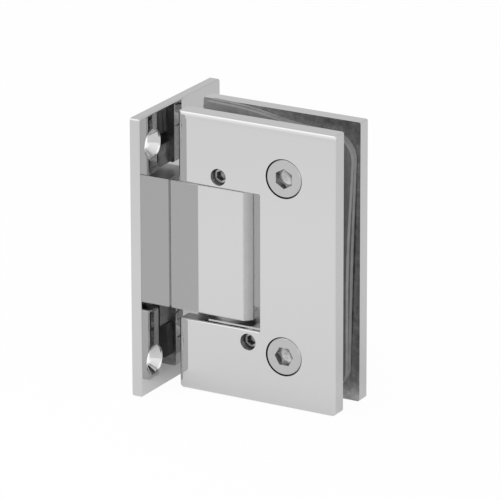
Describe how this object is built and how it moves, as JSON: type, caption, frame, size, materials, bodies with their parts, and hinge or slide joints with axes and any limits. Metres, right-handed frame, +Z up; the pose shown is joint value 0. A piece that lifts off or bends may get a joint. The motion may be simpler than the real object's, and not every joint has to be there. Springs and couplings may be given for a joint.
{
  "type": "glass door hinge",
  "caption": "Wall-to-glass shower door hinge: a wall plate with a pivot block, carrying a two-plate glass clamp that swings to either side.",
  "frame": {"origin": "centre of the wall plate's back face", "axes": "+X away from the wall, through the clamp; +Z up along the pivot pin; -Y towards the side with the clamp's screw heads"},
  "size_m": [0.0637, 0.0492, 0.09],
  "materials": {
    "polished_chrome": "bright chrome plate on brass, mirror polished",
    "screw_chrome": "chrome plated steel, lightly dull",
    "screw_steel": "plain stainless steel",
    "pin_steel": "ground stainless steel",
    "spring_steel": "drawn spring wire",
    "bush_plastic": "moulded acetal",
    "gasket_rubber": "grey soft sheet, matt"
  },
  "bodies": {
    "wall_side": {"wall_plate": "polished_chrome", "pivot_block": "polished_chrome", "block_screw_upper": "screw_steel", "block_screw_lower": "screw_steel", "bush_upper": "bush_plastic", "bush_lower": "bush_plastic", "spring_upper": "spring_steel", "spring_lower": "spring_steel"},
    "follower": {"pressure_bar": "pin_steel"},
    "clamp": {"pivot_pin": "pin_steel", "adjusting_lever": "pin_steel", "front_plate": "polished_chrome", "rear_plate": "polished_chrome", "front_gasket": "gasket_rubber", "rear_gasket": "gasket_rubber", "clamp_screw_upper": "screw_chrome", "clamp_screw_lower": "screw_chrome", "pin_set_screw": "screw_steel", "lever_screw_front": "screw_steel", "lever_screw_rear": "screw_steel"}
  },
  "joints": [
    {"name": "swing", "type": "hinge", "parent": "wall_side", "child": "clamp", "pos_m": [0.0228, 0, 0], "axis": [0, 0, 1], "range_deg": [-90, 90]},
    {"name": "bar_slide", "type": "slide", "parent": "wall_side", "child": "follower", "axis": [1, 0, 0], "range_m": [0, 0.0007], "stiffness_N_per_m": 1000, "springref_m": 0.002, "deforming": ["spring_upper", "spring_lower"]}
  ]
}
